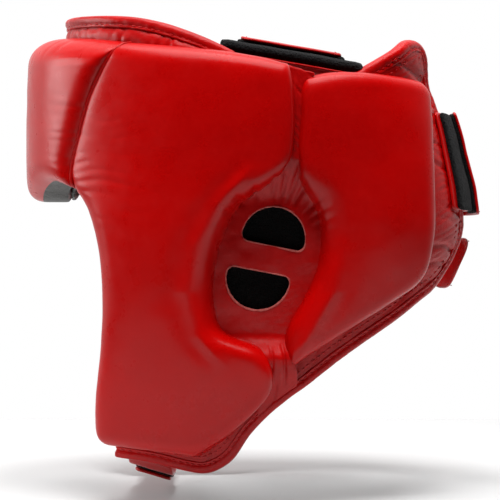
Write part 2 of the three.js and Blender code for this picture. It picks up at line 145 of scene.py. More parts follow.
OUTER_EDGE = [  # the bound edge from the cheek, round the nape side, to the crown
    [35.4, -112.4], [46.3, -114.8], [57, -118.5], [64, -120], [70, -118.5], [78, -112],
    [86, -98.7], [94, -88.2], [100.4, -81.3], [104, -77.6], [110, -71.8], [124.3, -56],
    [141.6, -38.8], [151.2, -28.8], [159.5, -20.5], [165.5, -8], [168, 8], [168, 24],
    [166.6, 44], [164.6, 64], [163.8, 84], [162, 101], [158.5, 112], [153, 115], [147, 113],
    [140.5, 107], [134.5, 101.5], [127, 95],
]
UNDER_PADS = [  # the skirt's inner edge, one point for each of the outer edge's
    [38, -101], [46, -102.5], [56, -104], [63.5, -105.5], [68, -103.5], [75, -98], [82, -89],
    [90, -74], [97, -62], [102, -58], [106, -54.5], [120, -39.5], [135, -23], [139.5, -17],
    [141.5, -9], [142, -2], [142.2, 8], [142.4, 24], [143.2, 44], [144.4, 64], [144.6, 80],
    [143, 87.5], [139, 90], [134, 91], [129, 91], [124, 91], [119, 90], [116, 87],
]
VALLEY_FRONT = [  # the leather floor between the side pad and the rear pad
    [87, -92], [88, -82], [89, -66], [83, -54], [71, -46], [70, -22], [72.5, 5], [77.5, 24],
    [87, 35.5], [95, 46], [97.5, 60], [97.5, 84], [96.5, 98],
]
VALLEY_BACK = [
    [104, -72], [103.5, -66], [100.8, -53.5], [101.5, -41.5], [105.5, -31], [110.8, -15],
    [113.7, 3], [111.8, 22.5], [106, 37.5], [105, 50.5], [105.7, 68], [106.1, 84], [108.5, 93],
]
CROWN_EDGE = [
    [0, 130], [20, 128.8], [38, 126.4], [50, 122.6], [60, 117.8], [70, 112.2], [80, 105.5],
]
COLLAR_TOP = [[0, 124.2], [20, 123], [38, 120.6], [50, 116.8], [60, 112], [70, 106.4], [79, 101]]
COLLAR_FOOT = [[0, 115], [20, 113.6], [38, 110.2], [50, 107], [60, 104], [70, 101], [79, 97]]
SEAM_GAP = 0.3  # degrees between pads sewn side by side
BROW_PAD, SIDE_PAD, REAR_PAD = 24.5, 20, 16.5
BINDING_WIDTH = 6.5
HOLE_WIDTH, HOLE_HEIGHT, HOLE_CORNER = 34, 21, 4
HOLES = [(11.5, 2, -12), (5, -11, 169)]  # y, z and tilt of each half moon's flat side
HOLE_CENTRE = (10, 0)  # y and z that the wrinkles round the ear spread from
STITCH = 3.4  # from one stitch to the next
CROWN_ARCH = {"root": 69, "middle": 112.5, "drop": 7.5, "slope": (0.175, -6), "side": 1}
CHIN_ARCH = {"root": 53, "middle": -117.5, "drop": -4, "slope": (0.3, -66), "side": -1}
SIDES = (("left", 1), ("right", -1))
FLOOR_HALF, FLOOR_GAP = 0.45, 0.004  # in metres
CAMERA_AWAY, LENS, SENSOR = 1.1, 138.96, 36


def reflect(points):
    return [[-angle, z] for angle, z in points]


def both_halves(points):
    return reflect(points)[::-1] + points[1:]


def shift(points, by):
    return [[angle + by, z] for angle, z in points]


def spline(points, t):
    """A uniform Catmull-Rom curve through the points, at t from 0 to 1."""
    points = np.asarray(points, float)
    last = len(points) - 1
    place = np.clip(np.asarray(t, float), 0, 1) * last
    row = np.clip(np.floor(place).astype(int), 0, last)
    w = (place - row)[..., None]
    p0, p1 = points[np.maximum(row - 1, 0)], points[row]
    p2, p3 = points[np.minimum(row + 1, last)], points[np.minimum(row + 2, last)]
    v0, v1 = (p2 - p0) / 2, (p3 - p1) / 2
    return (2 * (p1 - p2) + v0 + v1) * w**3 + (3 * (p2 - p1) - 2 * v0 - v1) * w**2 + v0 * w + p1


def smooth(x, low, high):
    """0 below low, 1 above high and a smooth step between."""
    t = np.clip((np.asarray(x, float) - low) / (high - low), 0, 1)
    return t * t * (3 - 2 * t)


def ramp(start, end, low, high):
    """A level that goes from start to end as x goes from low to high."""
    return lambda x: start + (end - start) * smooth(x, low, high)


class Strip:
    """An area of the head between two edges that run side by side."""

    measure = MEASURE

    def __init__(self, first, second, start=None, end=None, leans=False):
        self.leans = leans
        scale = np.array([MEASURE, 1])
        self.edges = [np.asarray(e, float) * scale for e in (first, second)]
        start = start or [first[0], second[0]]
        end = end or [first[-1], second[-1]]
        self.ends = [np.asarray(e, float) * scale for e in (start, end)]
        steps = np.linspace(0, 1, 401)
        middle = self.rung(np.full(401, 0.5), steps)
        lengths = np.concatenate([[0], np.cumsum(np.hypot(*np.diff(middle, axis=0).T))])
        self.length = lengths[-1]
        self.steps, self.shares = steps, lengths / lengths[-1]

    def rung(self, u, v):
        first, second = (spline(e, v) for e in self.edges)
        bow = [
            spline(e, u) - (e[0] + (e[-1] - e[0]) * u[..., None]) for e in self.ends
        ]
        uu, vv = u[..., None], v[..., None]
        return first + (second - first) * uu + bow[0] * (1 - vv) + bow[1] * vv

    def at(self, u, v):
        u, v = np.broadcast_arrays(np.asarray(u, float), np.asarray(v, float))
        place = self.rung(u, np.interp(v, self.shares, self.steps))
        return place[..., 0] / MEASURE, place[..., 1]

    def width(self, v):
        (a0, z0), (a1, z1) = self.at(0, v), self.at(1, v)
        return np.hypot((a1 - a0) * MEASURE, z1 - z0)

    def place(self, a, b, height):
        return on_form(a, b, height + (wing_lean(a, b) if self.leans else 0))


class Arch:
    """A band over the crown or under the chin: x along it and y across it."""

    def __init__(self, x, y, root, middle, drop, slope, side):
        self.x, self.y, self.root, self.middle = x, y, root, middle
        self.drop, self.slope, self.side = drop, slope, side
        self.length = abs(x[1] - x[0])

    def at(self, u, v):
        u, v = np.broadcast_arrays(np.asarray(u, float), np.asarray(v, float))
        x, y = self.x, self.y
        return x[0] + (x[1] - x[0]) * v, y[0] + (y[1] - y[0]) * u

    def width(self, v):
        return np.full(np.shape(v), float(abs(self.y[1] - self.y[0])))

    def place(self, x, y, lift):
        x, y, lift = np.broadcast_arrays(*(np.asarray(v, float) for v in (x, y, lift)))
        z = self.middle - self.drop * (x / self.root) ** 2 - self.slope[0] * (y - self.slope[1])
        lean = np.arctan(-2 * self.drop * x / self.root**2)
        side = self.side
        return np.stack([x - side * np.sin(lean) * lift, y, z + side * np.cos(lean) * lift], -1)


# ---- noise, the same on every run ----
def chance(i, j, k, seed):
    n = (i * 374761393 + j * 668265263 + k * 1103515245 + seed * 974634777) & 0xFFFFFFFF
    n = ((n ^ (n >> 13)) * 1274126177) & 0xFFFFFFFF
    return ((n ^ (n >> 16)) & 0xFFFF) / 65535


def noise(x, y, z=0.0, seed=1):
    """Smooth noise from -1 to 1."""
    x, y, z = np.broadcast_arrays(*(np.asarray(v, float) for v in (x, y, z)))
    cell = [np.floor(v).astype(np.int64) for v in (x, y, z)]
    part = [v - c for v, c in zip((x, y, z), cell)]
    fx, fy, fz = (p * p * (3 - 2 * p) for p in part)
    total = 0
    for i in (0, 1):
        for j in (0, 1):
            for k in (0, 1):
                w = (fx if i else 1 - fx) * (fy if j else 1 - fy) * (fz if k else 1 - fz)
                total = total + w * chance(cell[0] + i, cell[1] + j, cell[2] + k, seed)
    return 2 * total - 1


def folds(across, along, spacing, seed, sharp=0.35, warp=0.8, gaps=0.2):
    """Crease lines that run `along`: 0 on the flat, -1 at the bottom of a crease. sharp is a
    crease's width, warp is how far it wanders and gaps is how often it stops."""
    v = across / spacing + warp * noise(along / (spacing * 4), across / (spacing * 5), 0, seed)
    line = np.round(v)
    away = np.abs(v - line) * 2
    index = line.astype(np.int64)
    strength = 0.35 + 0.65 * chance(index, index * 0, index * 0, seed + 1)
    patches = noise(along / (spacing * 3), index * 3.7, 0, seed + 2)
    present = smooth(patches, -gaps - 0.5, 0.5 - gaps)
    return -np.exp(-((away / sharp) ** 2)) * strength * present


# ---- meshes ----
def link(name, mesh):
    obj = bpy.data.objects.new(name, mesh)
    bpy.context.scene.collection.objects.link(obj)
    return obj


def make(name, points, faces, material):
    mesh = bpy.data.meshes.new(name)
    mesh.from_pydata((np.asarray(points, float) * MM).tolist(), [], faces)
    work = bmesh.new()
    work.from_mesh(mesh)
    bmesh.ops.remove_doubles(work, verts=work.verts, dist=2e-6)
    bmesh.ops.dissolve_degenerate(work, edges=work.edges, dist=1e-6)
    bmesh.ops.recalc_face_normals(work, faces=work.faces)
    work.to_mesh(mesh)
    work.free()
    mesh.shade_smooth()
    mesh.materials.append(material)
    return link(name, mesh)


def coords(obj):
    co = np.empty(len(obj.data.vertices) * 3, np.float32)
    obj.data.vertices.foreach_get("co", co)
    return co.reshape(-1, 3).astype(float) / MM


def set_coords(obj, points):
    obj.data.vertices.foreach_set("co", (points * MM).astype(np.float32).ravel())
    obj.data.update()


def normals(obj):
    values = np.empty(len(obj.data.vertices) * 3, np.float32)
    obj.data.vertex_normals.foreach_get("vector", values)
    return values.reshape(-1, 3).astype(float)


def bake(obj):
    """Applies the object's modifiers."""
    graph = bpy.context.evaluated_depsgraph_get()
    mesh = bpy.data.meshes.new_from_object(obj.evaluated_get(graph))
    obj.modifiers.clear()
    old = obj.data
    obj.data = mesh
    bpy.data.meshes.remove(old)
    obj.data.shade_smooth()
    return obj


def refine(obj, levels):
    modifier = obj.modifiers.new("fine", "SUBSURF")
    modifier.levels = modifier.render_levels = levels
    return bake(obj)


def displace(obj, rule):
    """Moves each point along its normal by rule(angle, z, height, points)."""
    points = coords(obj)
    angle, z, height = off_form(points)
    set_coords(obj, points + normals(obj) * rule(angle, z, height, points)[:, None])
    return obj


def paint(obj, material, rule):
    """Gives a second material to the faces where rule(angle, z, height, centre, normal) holds."""
    obj.data.materials.append(material)
    count = len(obj.data.polygons)
    centre, normal = np.empty(count * 3, np.float32), np.empty(count * 3, np.float32)
    obj.data.polygons.foreach_get("center", centre)
    obj.data.polygons.foreach_get("normal", normal)
    centre, normal = centre.reshape(-1, 3).astype(float) / MM, normal.reshape(-1, 3)
    index = np.zeros(count, np.int32)
    obj.data.polygons.foreach_get("material_index", index)
    index[rule(*off_form(centre), centre, normal)] = len(obj.data.materials) - 1
    obj.data.polygons.foreach_set("material_index", index)
    return obj


class Grid:
    """A grid on a surface: its places and how far each is from the four borders."""

    def __init__(self, surface, across, along, rings=()):
        v = self.lines(np.array([surface.length]), along, rings)[0]
        u = self.lines(surface.width(v), across, rings)
        self.v, self.u = np.broadcast_arrays(v[:, None], u)
        self.a, self.b = surface.at(self.u, self.v)
        along = np.linspace(0, 1, 241)
        zero, one = 0 * along, 0 * along + 1
        borders = [(zero, along), (one, along), (along, zero), (along, one)]
        self.front, self.back, self.low, self.high = (
            self.distance(surface, *border) for border in borders
        )
        self.away = np.minimum.reduce([self.front, self.back, self.low, self.high])

    def distance(self, surface, u, v):
        """How far each place is from the line through the (u, v) points."""
        scale = getattr(surface, "measure", 1)
        a, b = surface.at(u, v)
        line = np.stack([a * scale, b], -1)
        spots = np.stack([self.a.ravel() * scale, self.b.ravel()], -1)
        best = np.full(len(spots), np.inf)
        for start, end in zip(line[:-1], line[1:]):
            way = end - start
            size = max(way @ way, 1e-12)
            t = np.clip((spots - start) @ way / size, 0, 1)
            best = np.minimum(best, np.hypot(*(spots - start - t[:, None] * way).T))
        return best.reshape(self.a.shape)

    @staticmethod
    def lines(widths, count, rings):
        rings = np.asarray(rings, float)
        inner = count - 2 * len(rings)
        result = np.empty((len(widths), count + 1))
        for row, width in enumerate(widths):
            near = np.minimum(rings / width, 0.45) if len(rings) else rings
            start = near[-1] if len(rings) else 0
            result[row] = np.concatenate([
                [0] if len(rings) else [], near[:-1],
                np.linspace(start, 1 - start, inner + 1),
                1 - near[:-1][::-1], [1] if len(rings) else [],
            ])
        return result


def closed(name, surface, grid, top, under, material, walls=0):
    """A closed sheet between two heights, with rows of faces down its sides."""
    rows, columns = grid.a.shape
    levels = [np.broadcast_to(np.asarray(level, float), grid.a.shape) for level in (top, under)]
    upper, lower = (surface.place(grid.a, grid.b, level).reshape(-1, 3) for level in levels)
    number = np.arange(rows * columns).reshape(rows, columns)
    rim = np.concatenate([number[0, :-1], number[:-1, -1], number[-1, :0:-1], number[:0:-1, 0]])
    quads = np.stack([number[:-1, :-1], number[:-1, 1:], number[1:, 1:], number[1:, :-1]], -1)
    quads = quads.reshape(-1, 4)
    total = rows * columns
    points = [upper, lower]
    loops = [rim]
    for wall in range(walls):
        share = (wall + 1) / (walls + 1)
        points.append(upper[rim] + (lower[rim] - upper[rim]) * share)
        loops.append(2 * total + wall * len(rim) + np.arange(len(rim)))
    loops.append(rim + total)
    faces = [quads, quads[:, ::-1] + total]
    for one, other in zip(loops, loops[1:]):
        faces.append(np.stack([one, other, np.roll(other, -1), np.roll(one, -1)], -1))
    return make(name, np.concatenate(points), np.concatenate(faces).tolist(), material)


class Rounded:
    """A surface whose four corners are rounded off, for straps and patches."""

    def __init__(self, surface, corner):
        self.surface, self.corner, self.length = surface, corner, surface.length
        self.place = surface.place
        self.measure = getattr(surface, "measure", 1)

    def squeeze(self, v):
        v = np.asarray(v, float)
        away = np.clip(np.minimum(v, 1 - v) * self.length / self.corner, 0, 1)
        lost = self.corner * (1 - np.sqrt(1 - (1 - away) ** 2))
        return 1 - 2 * lost / self.surface.width(v)

    def at(self, u, v):
        u, v = np.broadcast_arrays(np.asarray(u, float), np.asarray(v, float))
        return self.surface.at(0.5 + (u - 0.5) * self.squeeze(v), v)

    def width(self, v):
        return self.surface.width(v) * self.squeeze(v)


def skin(name, points, around, material):
    """A closed skin over rows of points, with `around` points in each row."""
    points = points.reshape(-1, 3)
    number = np.arange(len(points)).reshape(-1, around)
    following = np.roll(number, -1, axis=1)
    faces = np.stack([number[:-1], following[:-1], following[1:], number[1:]], -1)
    faces = faces.reshape(-1, 4).tolist() + [number[0, ::-1].tolist(), number[-1].tolist()]
    return make(name, points, faces, material)


def sweep(name, surface, section, steps, material, ripple):
    """A band with a closed section, given as (u, height) points, along a strip."""
    v = np.linspace(0, 1, steps + 1)
    section = np.asarray(section, float)
    a, b = surface.at(section[None, :, 0], v[:, None])
    height = section[None, :, 1] + ripple(
        v[:, None] * surface.length, section[None, :, 0], section[None, :, 1],
    )
    return skin(name, surface.place(a, b, height), len(section), material)


def tube(name, path, radius, material, sides=10):
    """A round cord-like welt along a path of points, with closed ends."""
    way = np.gradient(path, axis=0)
    way /= np.linalg.norm(way, axis=1)[:, None]
    out = path * [1, 1, 0] - [0, AXIS_Y, 0]
    side = np.cross(way, out)
    side /= np.linalg.norm(side, axis=1)[:, None]
    out = np.cross(side, way)
    turn = np.linspace(0, 2 * math.pi, sides, endpoint=False)[None, :, None]
    radius = np.broadcast_to(radius, len(path))[:, None, None]
    ring = np.cos(turn) * side[:, None] + np.sin(turn) * out[:, None]
    return skin(name, path[:, None] + radius * ring, sides, material)


def stitches(name, rows, material, pitch=STITCH, long=2.3, wide=0.34, high=0.3):
    """Threads in rows, each row a (surface, u, v from, v to, height)."""
    points, faces = [], []
    for surface, u, start, end, height in rows:
        count = int(abs(end - start) * surface.length / pitch)
        v = start + (end - start) * (np.arange(count) + 0.5) / count
        step = 0.5 * long / surface.length

        def spot(vv, lift):
            a, b = surface.at(u, vv)
            return surface.place(a, b, (height(a, b) if callable(height) else height) + lift)

        ends = [spot(np.clip(v + s * step, 0, 1), 0) for s in (-1, 1)]
        up = spot(v, 1) - spot(v, 0)
        up /= np.linalg.norm(up, axis=1)[:, None]
        way = ends[1] - ends[0]
        side = np.cross(way, up)
        side /= np.linalg.norm(side, axis=1)[:, None]
        for i in range(count):
            first = len(points)
            tips = [ends[0][i] - 0.15 * up[i], ends[1][i] - 0.15 * up[i]]
            rings = [
                ends[0][i] + way[i] * share + side[i] * wide * s + up[i] * high * h
                for share in (0.22, 0.78) for s, h in ((-1, 0), (0, 1), (1, 0), (0, -1))
            ]
            points += tips + rings
            for k in range(4):
                n = (k + 1) % 4
                faces.append([first, first + 2 + n, first + 2 + k])
                faces.append([first + 2 + k, first + 2 + n, first + 6 + n, first + 6 + k])
                faces.append([first + 1, first + 6 + k, first + 6 + n])
    return make(name, points, faces, material)


def mirrored(obj, name):
    """The same piece for the wearer's right."""
    mesh = obj.data.copy()
    mesh.name = name
    points = coords(obj) * [-1, 1, 1]
    mesh.vertices.foreach_set("co", (points * MM).astype(np.float32).ravel())
    mesh.flip_normals()
    mesh.update()
    return link(name, mesh)


def inflate(obj, held, most):
    """Cloth under pressure, with the held points pinned and no point moved more than most."""
    frames = 14
    start = coords(obj)
    group = obj.vertex_groups.new(name="held")
    group.add(np.flatnonzero(held).tolist(), 1.0, "REPLACE")
    modifier = obj.modifiers.new("puff", "CLOTH")
    settings = modifier.settings
    settings.quality = 4
    settings.mass = 0.4
    settings.tension_stiffness = settings.compression_stiffness = 20
    settings.bending_stiffness = 4
    settings.use_pressure = True
    settings.uniform_pressure_force = 4
    settings.vertex_group_mass = group.name
    settings.effector_weights.gravity = 0
    modifier.collision_settings.use_collision = False
    modifier.point_cache.frame_start = 1
    modifier.point_cache.frame_end = frames
    for step in range(1, frames + 1):
        bpy.context.scene.frame_set(step)
    bake(obj)
    move = coords(obj) - start
    size = np.linalg.norm(move, axis=1)[:, None]
    limit = np.minimum(1, most / np.maximum(size, 1e-9))
    set_coords(obj, start + move * limit)
    obj.vertex_groups.clear()
    bpy.context.scene.frame_set(1)


# ---- materials ----
class Shader:
    """A material with a Principled shader, and short ways to add nodes to it."""

    def __init__(self, name, **values):
        self.material = bpy.data.materials.new(name)
        self.material.use_nodes = True
        self.tree = self.material.node_tree
        self.shader = self.tree.nodes["Principled BSDF"]
        for socket, value in values.items():
            self.shader.inputs[socket.replace("_", " ")].default_value = value
        self.where = self.node("TexCoord").outputs["Object"]

    def node(self, kind, inputs=None, **props):
        node = self.tree.nodes.new("ShaderNode" + kind)
        for key, value in props.items():
            setattr(node, key, value)
        for key, value in (inputs or {}).items():
            if isinstance(value, bpy.types.NodeSocket):
                self.tree.links.new(value, node.inputs[key])
            else:
                node.inputs[key].default_value = value
        return node

    def noise(self, scale, detail=3, roughness=0.5, distortion=0.0, where=None):
        return self.node("TexNoise", {
            "Vector": where or self.where, "Scale": scale, "Detail": detail,
            "Roughness": roughness, "Distortion": distortion,
        }).outputs["Fac"]

    def cells(self, scale, feature="DISTANCE_TO_EDGE", where=None):
        inputs = {"Vector": where or self.where, "Scale": scale}
        return self.node("TexVoronoi", inputs, feature=feature).outputs["Distance"]

    def ranged(self, value, low, high, to_low=0.0, to_high=1.0):
        inputs = {"Value": value, "From Min": low, "From Max": high}
        inputs.update({"To Min": to_low, "To Max": to_high})
        return self.node("MapRange", inputs).outputs["Result"]

    def maths(self, operation, one, other=0.0):
        return self.node("Math", {0: one, 1: other}, operation=operation).outputs[0]

    def mix(self, factor, one, other, blend="MIX"):
        inputs = {"Factor": factor, "A": one, "B": other}
        node = self.node("Mix", data_type="RGBA", blend_type=blend)
        for key, value in inputs.items():
            socket = next(
                s for s in node.inputs
                if s.name == key and s.enabled and (key == "Factor" or s.type == "RGBA")
            )
            if isinstance(value, bpy.types.NodeSocket):
                self.tree.links.new(value, socket)
            else:
                socket.default_value = value
        return next(s for s in node.outputs if s.type == "RGBA" and s.enabled)

    def bump(self, height, strength, distance, under=None):
        inputs = {"Height": height, "Strength": strength, "Distance": distance}
        if under is not None:
            inputs["Normal"] = under
        return self.node("Bump", inputs).outputs["Normal"]

    def use(self, socket, value):
        self.tree.links.new(value, self.shader.inputs[socket])


def leather(name, deep, base, pale, rough, coat, crease, grain):
    """Dyed leather with clouds, flecks and pores, hairline creases and a fine grain."""
    s = Shader(
        name, IOR=1.45, Specular_IOR_Level=0.28,
        Coat_Weight=coat, Coat_Roughness=0.2, Coat_IOR=1.35,
    )
    cloud = s.ranged(s.noise(13, 3), 0.32, 0.68)
    colour = s.mix(cloud, (*deep, 1), (*base, 1))
    fleck = s.ranged(s.noise(420, 4, 0.7), 0.45, 0.75, 0, 0.3)
    colour = s.mix(fleck, colour, (*pale, 1))
    pores = s.cells(950)
    colour = s.mix(s.ranged(pores, 0.0, 0.08, 0.12, 0.0), colour, (*deep, 1))
    s.use("Base Color", colour)
    s.use("Roughness", s.ranged(s.noise(70, 4, 0.6), 0.3, 0.7, rough - 0.06, rough + 0.08))
    # hairline creases that run level or upright, in patches
    under = None
    for stretch, patch in (((1, 1, 6), 31), ((5, 5, 1), 23)):
        where = s.node("Mapping", {"Vector": s.where, "Scale": stretch}).outputs["Vector"]
        lines = s.maths("ABSOLUTE", s.maths("SUBTRACT", s.noise(60, 4, 0.6, 0.4, where), 0.5))
        lines = s.ranged(lines, 0.0, 0.05, -1.0, 0.0)
        lines = s.maths("MULTIPLY", lines, s.ranged(s.noise(patch, 2), 0.48, 0.66))
        under = s.bump(lines, crease, 0.0006, under)
    under = s.bump(s.ranged(pores, 0.0, 0.12), grain, 0.0003, under)
    s.use("Normal", s.bump(s.noise(2600, 2), grain * 0.6, 0.0002, under))
    return s.material


def fuzzy(name, base, pale, scale, sheen):
    """Hook or loop pile."""
    s = Shader(
        name, Roughness=0.95, Sheen_Weight=sheen, Sheen_Roughness=0.5, Specular_IOR_Level=0.15,
    )
    tufts = s.noise(scale, 5, 0.75, 0.8)
    s.use("Base Color", s.mix(s.ranged(tufts, 0.4, 0.75), (*base, 1), (*pale, 1)))
    pile = s.maths("ADD", tufts, s.cells(scale * 0.8, "F1"))
    s.use("Normal", s.bump(pile, 0.9, 0.0012))
    return s.material


def cut_edge(name):
    """Raw cut leather, paler than its face, with fibres."""
    s = Shader(name, Roughness=0.85)
    fibres = s.noise(700, 5, 0.8, 1.2)
    colour = s.mix(s.ranged(fibres, 0.3, 0.7), (0.34, 0.02, 0.02, 1), (0.66, 0.2, 0.17, 1))
    s.use("Base Color", colour)
    s.use("Normal", s.bump(fibres, 0.7, 0.0008))
    return s.material


def thread(name, base, pale):
    s = Shader(name, Roughness=0.55)
    strands = s.noise(1800, 3, 0.6)
    s.use("Base Color", s.mix(strands, (*base, 1), (*pale, 1)))
    s.use("Normal", s.bump(strands, 0.5, 0.0003))
    return s.material


RED = leather(
    "red_leather", (0.38, 0.0002, 0.0002), (0.47, 0.0004, 0.0003), (0.50, 0.004, 0.003),
    0.30, 0.10, 0.0, 0.06,
)
RED_SOFT = leather(
    "red_leather_gathered", (0.30, 0.0006, 0.0008), (0.46, 0.0010, 0.0010), (0.54, 0.008, 0.008),
    0.33, 0.10, 0.16, 0.14,
)
RED_TRIM = leather(
    "red_binding", (0.31, 0.0006, 0.0008), (0.47, 0.0010, 0.0010), (0.56, 0.010, 0.010),
    0.34, 0.10, 0.16, 0.14,
)
LINING = leather(
    "lining_leather", (0.016, 0.018, 0.015), (0.034, 0.036, 0.030), (0.06, 0.062, 0.052),
    0.42, 0.2, 0.8, 0.3,
)
PILE = fuzzy("loop_pile", (0.0022, 0.0022, 0.0024), (0.014, 0.014, 0.015), 900, 0.04)
HOOKS = fuzzy("hook_pile", (0.0022, 0.0022, 0.0022), (0.012, 0.012, 0.013), 1500, 0.03)
# painted shade: a near-black sheet behind the ear openings stands in for the shade inside the
# holes
PAINTED_HOLE_SHADE = fuzzy("ear_hole_painted_shade", (0.0008, 0.0008, 0.0008), (0.003, 0.003, 0.003), 1300, 0)
RAW = cut_edge("raw_leather_edge")
THREAD = thread("red_thread", (0.36, 0.001, 0.002), (0.52, 0.008, 0.010))


# ---- pads ----
def pad(name, area, thickness, across, along, edges):
    """A padded panel. edges gives (edge height, roll) for its front, back, low and high edge."""
    crown = 0.9
    grid = Grid(area, across, along, [0.75, 2.9, 6.1, 9.9])
    drop = 0
    for away, (edge_height, rolled) in zip((grid.front, grid.back, grid.low, grid.high), edges):
        edge_height = edge_height(grid.b) if callable(edge_height) else edge_height
        rolled = rolled(grid.b) if callable(rolled) else rolled
        share = 1 - np.sqrt(1 - (1 - np.clip(away / rolled, 0, 1)) ** 2)
        drop = drop + ((thickness - edge_height) * share) ** 4
    top = thickness - drop ** 0.25
    bulge = np.sin(math.pi * grid.u) * np.sin(math.pi * grid.v) * smooth(grid.away, 4, 20)
    top = top + crown * bulge
    obj = closed(name, area, grid, np.maximum(top, 2.5), 0.4, RED, walls=3)
    height = off_form(coords(obj))[2]
    inflate(obj, height < 2.2, 2.2)
    return refine(obj, 2)


def in_groove(z):
    """1 where the side pad and the rear pad almost touch, above and below the ear."""
    return smooth(z, 28, 44) + 1 - smooth(z, -64, -50)


def unevenness(angle, z):
    """The slow unevenness of every outer pad."""
    slow = 0.28 * noise(angle * MEASURE / 30, z / 30, 0, 11)
    return slow + 0.10 * noise(angle / 6, z / 9, 0, 12)


def ear_wrinkles(points):
    """Creases that spread from the ear openings."""
    y, z = points[:, 1] - HOLE_CENTRE[0], points[:, 2] - HOLE_CENTRE[1]
    far = np.hypot(y, z)
    turn = np.degrees(np.arctan2(z, y))
    mask = smooth(far, 22, 31) * (1 - smooth(far, 40, 52)) * smooth(z, 6, 26)
    mask *= smooth(points[:, 0], 20, 60) + smooth(-points[:, 0], 20, 60)
    return mask * folds(turn, far, 8.5, 21, 0.45, 0.5, 0.1)


def ear_ridge(angle, z):
    """The rolled ridge and the dip outside it that frame the ear recess."""
    middle = np.interp(z, [-46, 42], [89, 95])
    half = np.interp(z, [-60, -46, -22, 4, 24, 42, 60], [9, 14.5, 20, 18, 13, 6, 5])
    outside = (np.abs(angle - middle) - half) * MEASURE
    reach = smooth(z, -66, -50) * (1 - smooth(z, 34, 48))
    ridge = 0.9 * np.exp(-((outside - 3) / 2.8) ** 2)
    return reach * (ridge - 0.35 * np.exp(-((outside - 9.5) / 3.6) ** 2))


def declare(obj, body, slot, *nodes):
    """Attaches a piece to the body it rides on and hides the frame's nodes that it stands for. The
    slot is not used.
    """
    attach(obj, body)
    if nodes:
        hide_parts(*nodes)


def pair(obj, name, nodes=(), bends=True):
    """Mirrors a piece that both sides have, attaches each copy to the shell and hides the frame's
    nodes that it stands for. One that bends, crossing from the shell to a wing, is attached to no
    body."""
    for side, sign in SIDES:
        one = obj if side == "left" else mirrored(obj, f"right_{name}")
        if bends:
            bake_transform(one)
        else:
            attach(one, "shell")
        if nodes:
            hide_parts(*[f"{side}_{node}" for node in nodes])


def brow():
    area = Strip(reflect(SEAM), SEAM, both_halves(BROW_LOWER), both_halves(BROW_UPPER))
    seam = (19.6, 5.5)
    obj = pad("brow_pad", area, BROW_PAD, 36, 26, (seam, seam, (14.5, 9.5), (6.5, 14)))

    def rule(angle, z, height, points):
        side = np.abs(angle)
        along_seam = smooth(side, 24, 31) * (1 - smooth(z, 100, 116))
        fine = folds(z, side * MEASURE, 4.5, 31, 0.5, 1.0, 0.3) * 0.16 * along_seam
        top = smooth(z, 98, 110) * smooth(height, 4, 10)
        gathers = folds(angle * MEASURE, z, 5.5, 32, 0.35, 0.6, 0.1) * 0.35 * top
        return unevenness(angle, z) + fine + gathers

    displace(obj, rule)

    def underside(angle, z, height, centre, normal):
        lower = np.interp(np.abs(angle), *np.transpose(BROW_LOWER))
        return (z < lower + 2.5) & (height < 14.2)

    paint(obj, LINING, underside)
    declare(obj, "shell", "red_leather", "brow_cover", "brow_foam")
    # the welt where the brow meets each side panel
    share = np.linspace(0, 1, 60)
    line = spline(np.array(SEAM), share)
    ends = 1 - np.clip(np.minimum(share, 1 - share) / 0.12, 0, 1)
    welt_height = 18.7 - 9 * (1 - np.sqrt(1 - ends**2))
    for side, sign in SIDES:
        path = on_form(sign * (line[:, 0] + SEAM_GAP / 2), line[:, 1], welt_height)
        welt = tube(f"{side}_brow_welt", path, 1.0, RED_TRIM)
        declare(welt, "shell", "red_leather")


def sides():
    front = shift(CHEEK_FRONT + SEAM, SEAM_GAP)
    top = shift(SIDE_TOP, SEAM_GAP)
    top[-1] = SIDE_BACK[-1]
    area = Strip(front, SIDE_BACK, None, top)
    edges = (
        (ramp(10, 18.7, 24, 42), ramp(9.5, 4.5, 24, 42)),
        (lambda z: 8 + 6 * in_groove(z), lambda z: 8.5 - 2.5 * in_groove(z)), (9, 9), (11, 7.5),
    )
    obj = pad("left_side_pad", area, SIDE_PAD, 24, 56, edges)

    def rule(angle, z, height, points):
        ahead = (1 - smooth(angle, 40, 62)) * smooth(z, 0, 26) * (1 - smooth(z, 60, 84))
        fine = folds(z + angle * 0.25, angle * MEASURE, 5.2, 41, 0.5, 1.3, 0.3) * 0.3 * ahead
        hem = (1 - smooth(height, 9, 17)) * smooth(height, 3, 7)
        cheek = hem * (1 - smooth(angle, 40, 48)) * folds(z, height, 6, 42, 0.3, 0.7, 0.2) * 0.3
        foot = hem * (1 - smooth(z, -104, -90)) * 0.4
        foot = foot * folds(angle * MEASURE, height, 6, 43, 0.3, 0.7, 0.1)
        groove = hem * smooth(angle, 94, 99) * smooth(z, 36, 50) * 0.5
        groove = groove * folds(z, height, 5, 44, 0.35, 0.8, 0.1)
        ear = ear_wrinkles(points) * 1.6 * (1 - smooth(height, 15, 20))
        return (
            unevenness(angle, z) + ear_ridge(angle, z) + fine + cheek + foot + groove + ear
        )

    displace(obj, rule)
    pair(obj, "side_pad", ["side_cover", "side_foam"], bends=False)


